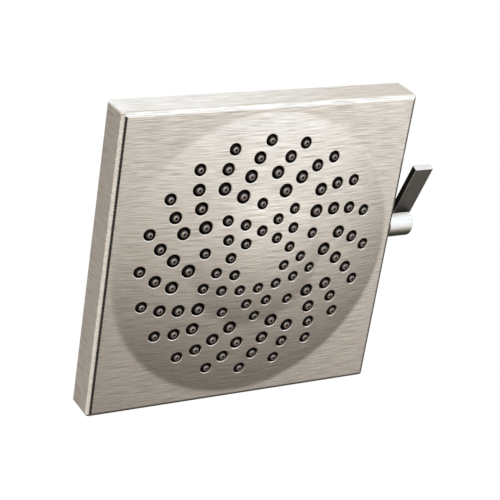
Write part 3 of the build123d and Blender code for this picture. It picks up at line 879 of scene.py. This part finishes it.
def brushed_lines_group(name):
    """Straight brushing: along X on face, top and bottom, along the depth on the side walls."""
    group, start, end = node_group(name, [("Fineness", 2000.0), ("Stretch", 50.0)], ["Lines"])
    x, y, z = split(group, source(group, "TexCoord", "Object"))
    normal = split(group, source(group, "NewGeometry", "Normal"))
    steep = 0.72
    sizes = [math_node(group, "ABSOLUTE", normal[i]) for i in (0, 2)]
    side, flat = [math_node(group, "GREATER_THAN", size, steep) for size in sizes]
    fine, slow = start.outputs["Fineness"], start.outputs["Stretch"]
    fine_z = product(group, z, fine)
    front = combine(group, product(group, x, slow), product(group, product(group, y, flat), fine), fine_z)
    walls = combine(group, product(group, x, fine), product(group, y, slow), fine_z)
    vector = mixed(group, "VECTOR", side, front, walls)
    lines = noise_at(group, vector, scale=1.0, detail=3.0, roughness=0.6, distortion=0.15)
    group.links.new(lines, end.inputs["Lines"])
    return group


def turned_lines_group(name):
    """Fine lathe lines round the swivel's axis."""
    group, start, end = node_group(name, [("Fineness", 2600.0)], ["Lines"])
    x, y, z = split(group, source(group, "TexCoord", "Object"))
    squares = math_node(group, "ADD", product(group, x, x), product(group, z, z))
    reach = math_node(group, "SQRT", squares)
    fine = start.outputs["Fineness"]
    vector = combine(group, product(group, reach, fine), product(group, y, fine), 0.0)
    lines = noise_at(group, vector, scale=1.0, detail=3.0, roughness=0.55)
    group.links.new(lines, end.inputs["Lines"])
    return group


def moulded_grain_group(name):
    """Slow cloud and fine even grain of moulded plastic and rubber."""
    group, start, end = node_group(name, [("Cloud Size", 60.0), ("Grain Size", 900.0)], ["Cloud", "Grain"])
    place = source(group, "TexCoord", "Object")
    for title, detail in (("Cloud", 2.0), ("Grain", 3.0)):
        noise = noise_at(group, place, start.outputs[title + " Size"], detail)
        group.links.new(noise, end.inputs[title])
    return group


# Patterns by name: the first output drives tone and roughness, the last one the bump
PATTERNS = {
    "brushed_lines": brushed_lines_group,
    "turned_lines": turned_lines_group,
    "moulded_grain": moulded_grain_group,
}


def new_finish(name):
    """New material with its tree and Principled shader."""
    material = bpy.data.materials.new(name)
    material.use_nodes = True
    tree = material.node_tree
    return material, tree, tree.nodes["Principled BSDF"]


def matte(name, level):
    """New matte grey material with its tree and Principled shader."""
    material, tree, shader = new_finish(name)
    tone = (level, level, level, 1.0)
    set_inputs(tree, shader, {"Base Color": tone, "Roughness": 1.0, "Specular IOR Level": 0.0})
    return material, tree, shader


def patterned(name, pattern, tones, roughness, strength, metallic, span=NOISE_SPAN):
    """Material whose tone, roughness and bump follow a shared pattern; built once."""
    if name in bpy.data.materials:
        return bpy.data.materials[name]
    material, tree, shader = new_finish(name)
    group = bpy.data.node_groups.get(pattern) or PATTERNS[pattern](pattern)
    outputs = add_node(tree, "Group", {}, node_tree=group).outputs
    values = {
        "Base Color": two_tone(tree, remap(tree, outputs[0], 0.0, 1.0, span), *tones),
        "Roughness": remap(tree, outputs[0], *roughness),
        "Normal": bump(tree, outputs[-1], strength),
        "Metallic": metallic,
    }
    set_inputs(tree, shader, values)
    return material


def shaded(tone, share):
    """A colour made darker or lighter."""
    return tuple(min(1.0, share * c) for c in tone)


def brushed_nickel(name="brushed_nickel_finish", tone="nickel"):
    """Nickel plating with straight brushing, in the warm tone or the lever's."""
    colours = settings().finish
    tones = (getattr(colours, tone + "_dark"), getattr(colours, tone))
    rough = (0.34, 0.24)
    return patterned(name, "brushed_lines", tones, rough, strength=0.9, metallic=1.0, span=BRUSHED_SPAN)


def turned_metal(name, tone, rough):
    """Turned metal with lathe lines."""
    tones = (shaded(tone, 0.8), tone)
    return patterned(name, "turned_lines", tones, (rough + 0.06, rough - 0.04), strength=0.1, metallic=1.0)


def moulded(name, tone, rough, grain):
    """Moulded plastic, silicone or rubber."""
    tones = (shaded(tone, 0.84), shaded(tone, 1.18))
    return patterned(name, "moulded_grain", tones, (rough - 0.05, rough + 0.07), strength=grain, metallic=0.0)


# Operators


class SHOWERHEAD_OT_face(bpy.types.Operator):
    """Replaces the face shell by the fine crowned face with rolled hole lips"""

    bl_idname = "showerhead.face"
    bl_label = "Crowned Face"

    def execute(self, context):
        face = settings().face
        skin = build_face(face, Crown(face))
        add_piece("crowned_face", skin, "head", [brushed_nickel()], ["face_shell"])
        return {"FINISHED"}


class SHOWERHEAD_OT_nozzles(bpy.types.Operator):
    """Replaces the nozzle mat by round soft nozzles on their sheet"""

    bl_idname = "showerhead.nozzles"
    bl_label = "Soft Nozzles"

    def execute(self, context):
        face, nozzle = settings().face, settings().nozzle
        skin = build_nozzles(face, nozzle, Crown(face))
        colours = settings().finish
        tips = moulded("silicone_tip_finish", colours.silicone, rough=0.3, grain=0.05)
        # The second finish is near-black painted shade for the mat, the roots and the orifice bores
        painted_shade_roots = moulded("silicone_painted_shade_finish", colours.silicone_painted_shade, rough=0.5, grain=0.05)
        for finish, shine in ((tips, 0.9), (painted_shade_roots, 0.3)):
            shader = finish.node_tree.nodes["Principled BSDF"]
            shader.inputs["Specular IOR Level"].default_value = shine
        add_piece("soft_nozzles", skin, "head", [tips, painted_shade_roots], ["nozzle_mat"])
        return {"FINISHED"}


class SHOWERHEAD_OT_lever(bpy.types.Operator):
    """Replaces the lever by a finely bevelled one"""

    bl_idname = "showerhead.lever"
    bl_label = "Side Lever"

    def execute(self, context):
        skin = build_lever(settings().lever)
        finish = brushed_nickel("lever_nickel_finish", "lever")
        add_piece("side_lever", skin, "lever", [finish], ["lever_handle"])
        return {"FINISHED"}


class SHOWERHEAD_OT_swivel(bpy.types.Operator):
    """Replaces the ball and both nuts by fine turned ones with the inlet thread"""

    bl_idname = "showerhead.swivel"
    bl_label = "Swivel Inlet"

    def execute(self, context):
        inlet = settings().inlet
        colours = settings().finish
        bright = turned_metal("bright_nickel_finish", colours.bright, rough=0.14)
        satin = turned_metal("satin_nut_finish", colours.nickel, rough=0.28)
        add_piece("ball_and_stem", build_ball(inlet), "ball", [bright], ["swivel_ball"])
        nut, ring = build_inlet_nut(inlet), build_ring_nut(inlet)
        add_piece("hexagon_nut", nut, "inlet", [satin], ["inlet_nut"], own_normals=False)
        add_piece("ring_nut", ring, "head", [satin], ["retaining_nut"], own_normals=False)
        return {"FINISHED"}


class SHOWERHEAD_OT_inner(bpy.types.Operator):
    """Gives the other pieces their metal, plastic and rubber finishes"""

    bl_idname = "showerhead.inner"
    bl_label = "Cover and Inner Pieces"

    def execute(self, context):
        colours = settings().finish
        finishes = {
            "brushed_nickel": brushed_nickel(),
            "dark_plastic": moulded("black_plastic_finish", colours.plastic, rough=0.45, grain=0.1),
            "pale_plastic": moulded("acetal_finish", colours.acetal, rough=0.38, grain=0.05),
            "black_rubber": moulded("rubber_finish", colours.rubber, rough=0.6, grain=0.12),
            "plain_brass": turned_metal("brass_finish", colours.brass, rough=0.25),
            "plain_steel": turned_metal("steel_finish", colours.steel, rough=0.3),
        }
        for entry in frame["record"]["subparts"]:
            finish = finishes.get(entry["material_slot"])
            node = frame["nodes"][entry["node"]]
            if finish and not node.hide_render:
                node.data.materials.clear()
                node.data.materials.append(finish)
        return {"FINISHED"}


class SHOWERHEAD_OT_stage(bpy.types.Operator):
    """Sets the floor, the light and the camera"""

    bl_idname = "showerhead.stage"
    bl_label = "Stage"

    def execute(self, context):
        stage = settings().stage
        build_floor(stage)
        build_tent(stage)
        build_flags()
        build_light(stage)
        build_camera(stage)
        context.scene.view_settings.view_transform = "Standard"
        return {"FINISHED"}


# Stage


def level_ramp(tree, value, stops):
    """Level at a value, straight between stops of (value, level)."""
    low, high = stops[0][0], stops[-1][0]
    share = math_node(tree, "DIVIDE", math_node(tree, "SUBTRACT", value, low), high - low)
    node = add_node(tree, "ValToRGB", {"Fac": share})
    elements = node.color_ramp.elements
    while len(elements) < len(stops):
        elements.new(0.5)
    for element, (place, level) in zip(elements, stops):
        element.position = (place - low) / (high - low)
        element.color = (level, level, level, 1.0)
    return node.outputs["Color"]


def scaled(tree, tone, level):
    """Colour times a level."""
    return add_node(tree, "VectorMath", {0: tone, "Scale": level}, operation="SCALE").outputs[0]


def card(name, points, material):
    """Four-cornered card of one material."""
    return linked(name, new_mesh(name, points, [(0, 1, 2, 3)], [material]))


def corners(across, along):
    """Corners of a rectangle in turn, from its two spans."""
    return [(across[0], along[0]), (across[1], along[0]), (across[1], along[1]), (across[0], along[1])]


def build_floor(stage):
    """Plain white floor far below."""
    span = (-stage.floor_size / 2, stage.floor_size / 2)
    points = [(x, y, -stage.floor_drop) for x, y in corners(span, span)]
    material, _, _ = matte("studio_floor_finish", 1.0)
    floor_object = card("studio_floor", points, material)


def only_in_reflections(obj):
    """Keeps a card out of the picture and its shadows, so that only shiny surfaces show it."""
    for ray in ("camera", "diffuse", "transmission", "volume_scatter", "shadow"):
        setattr(obj, "visible_" + ray, False)


def build_tent(stage):
    """Graded room for reflections: pale above, in front and left, dark to the right and below."""
    skin = Skin()
    centre = Vector((0.0, -0.06, 0.0))
    steps, segments, pole = 48, 72, 88
    rows = []
    for rise in map(radians, spaced(pole, -pole, steps)):
        ways = [Vector((cos(a) * cos(rise), sin(a) * cos(rise), sin(rise))) for a in around(segments)]
        rows.append([(centre + way * stage.tent_radius, -way) for way in ways])
    skin.rows(rows)
    material, tree, shader = new_finish("graded_room_finish")
    room = linked("graded_room", new_mesh("graded_room", skin.points, skin.faces, [material]))
    only_in_reflections(room)
    tree.nodes.remove(shader)
    x, y, z = split(tree, source(tree, "TexCoord", "Object"))
    turn = math_node(tree, "ARCTAN2", math_node(tree, "SUBTRACT", y, centre.y), x)
    turn = product(tree, turn, DEGREES)
    rise = math_node(tree, "ARCSINE", math_node(tree, "DIVIDE", z, stage.tent_radius))
    rise = product(tree, rise, DEGREES)
    front = product(tree, level_ramp(tree, turn, FRONT_TURN), level_ramp(tree, rise, FRONT_RISE))
    left = product(tree, level_ramp(tree, turn, LEFT_TURN), level_ramp(tree, rise, LEFT_RISE))
    level = math_node(tree, "MAXIMUM", math_node(tree, "MAXIMUM", front, left), DARKEST)
    low_turn, low_rise = level_ramp(tree, turn, LOW_SKY_TURN), level_ramp(tree, rise, LOW_SKY_RISE)
    low_sky = math_node(tree, "MAXIMUM", low_turn, low_rise)
    upper = product(tree, level_ramp(tree, turn, SKY_TURN), low_sky)
    lower = scaled(tree, two_tone(tree, level, *ROOM_TINTS), level)
    sky = scaled(tree, two_tone(tree, upper, *SKY_TINTS), upper)
    tone = mixed(tree, "RGBA", level_ramp(tree, rise, HORIZON_RISE), lower, sky)
    glow = add_node(tree, "Emission", {"Color": tone})
    tree.links.new(glow.outputs[0], tree.nodes["Material Output"].inputs["Surface"])


def build_flags():
    """Slim flags at the left edge and the lever's blade, black only on the side that faces them."""
    material, tree, shader = matte("flag_finish", 0.005)
    facing = source(tree, "NewGeometry", "Backfacing")
    set_inputs(tree, shader, {"Alpha": math_node(tree, "SUBTRACT", 1.0, facing)})
    lever = settings().lever
    up, back = lever_ways(lever)
    edge_gap, blade_gap, hub_height = 0.0015, 0.0005, 0.00965
    y = shell_high.y - settings().face.depth - edge_gap
    foot = Vector((lever_low.x + lever.blade_inset - blade_gap, *lever_joint["pos_m"][1:]))
    along = Vector((lever_high.x - foot.x, 0.0, 0.0))
    edge = corners((-0.10795, -0.1041), (0.106, -0.1072))
    blade = corners((0.0, 0.0055), (0.007, 0.052))
    hub = corners((0, 1), (-0.0095, -0.0004))
    flags = {
        "edge_flag": [(x, y, z) for x, z in edge],
        "lever_flag": [foot + back * a + up * b for a, b in blade],
        "hub_flag": [foot + along * a + back * b + up * hub_height for a, b in hub],
    }
    for name, points in flags.items():
        flag = card(name, points, material)
        only_in_reflections(flag)


def add_panel(name, place, size, power, only=None):
    """Soft square lamp aimed at the head, hidden from reflections, or lighting one piece only."""
    lamp = bpy.data.lights.new(name, "AREA")
    lamp.size = size
    lamp.energy = power
    lamp_object = linked(name, lamp)
    lamp_object.location = place
    target = Vector((0.0, -0.05, 0.0))
    aim = target - lamp_object.location
    lamp_object.rotation_euler = aim.to_track_quat("-Z", "Y").to_euler()
    lamp_object.visible_camera = False
    if only is None:
        lamp_object.visible_glossy = False
        return
    receivers = bpy.data.collections.new(name + "_receivers")
    receivers.objects.link(only)
    lamp_object.light_linking.receiver_collection = receivers


def build_light(stage):
    """Even white room, two soft lamps before and behind the head, and one for the nozzles alone."""
    world = bpy.data.worlds.new("studio_room")
    world.use_nodes = True
    background = world.node_tree.nodes["Background"]
    set_inputs(world.node_tree, background, {"Color": (1.0, 1.0, 1.0, 1.0), "Strength": stage.sky})
    bpy.context.scene.world = world
    add_panel("front_lamp", place=(0.63, -0.81, 0.69), size=0.8, power=stage.front_power)
    add_panel("back_lamp", place=(0.1, 1.0, 0.5), size=0.9, power=stage.back_power)
    nozzles = bpy.data.objects["soft_nozzles"]
    add_panel("tip_lamp", place=(-0.1, -1.2, 0.31), size=1.5, power=stage.tip_power, only=nozzles)


def build_camera(stage):
    """Camera at the photograph's angle for a square picture."""
    camera = bpy.data.cameras.new("portrait_camera")
    camera.lens = stage.lens
    camera.sensor_width = 36.0
    camera.clip_end = 100.0
    camera_object = linked("portrait_camera", camera)
    place = Vector(stage.camera_place)
    forward = (Vector(stage.camera_target) - place).normalized()
    level = forward.cross(Vector((0.0, 0.0, 1.0))).normalized()
    upright = level.cross(forward)
    right = level * cos(stage.camera_roll) + upright * sin(stage.camera_roll)
    up = right.cross(forward)
    turn = Matrix((right, up, -forward)).transposed().to_4x4()
    camera_object.matrix_world = Matrix.Translation(place) @ turn
    bpy.context.scene.camera = camera_object


class SHOWERHEAD_PT_panel(bpy.types.Panel):
    """Lists the pieces and their settings."""

    bl_idname = "SHOWERHEAD_PT_panel"
    bl_label = "Shower Head"
    bl_space_type = "VIEW_3D"
    bl_region_type = "UI"
    bl_category = "Shower Head"

    def draw(self, context):
        layout = self.layout
        for operator in OPERATORS:
            layout.operator(operator.bl_idname)
        for title in ("face", "nozzle", "lever", "inlet", "finish", "stage"):
            group = getattr(context.scene.shower_head, title)
            box = layout.box()
            box.label(text=title.title())
            for name in group.__annotations__:
                box.prop(group, name)


OPERATORS = (
    SHOWERHEAD_OT_face,
    SHOWERHEAD_OT_nozzles,
    SHOWERHEAD_OT_lever,
    SHOWERHEAD_OT_swivel,
    SHOWERHEAD_OT_inner,
    SHOWERHEAD_OT_stage,
)
GROUPS = (FaceSizes, NozzleSizes, LeverSizes, InletSizes, FinishColours, StageSettings, ShowerHeadSettings)
CLASSES = (*GROUPS, *OPERATORS, SHOWERHEAD_PT_panel)


def register():
    """Registers the settings, operators and panel."""
    for item in CLASSES:
        bpy.utils.register_class(item)
    bpy.types.Scene.shower_head = PointerProperty(type=ShowerHeadSettings)


def unregister():
    """Takes the settings, operators and panel away."""
    del bpy.types.Scene.shower_head
    for item in reversed(CLASSES):
        bpy.utils.unregister_class(item)


def main():
    """Builds the pieces and the stage."""
    register()
    bpy.ops.showerhead.face()
    bpy.ops.showerhead.nozzles()
    bpy.ops.showerhead.lever()
    bpy.ops.showerhead.swivel()
    bpy.ops.showerhead.inner()
    bpy.ops.showerhead.stage()


if __name__ == "__main__":
    main()
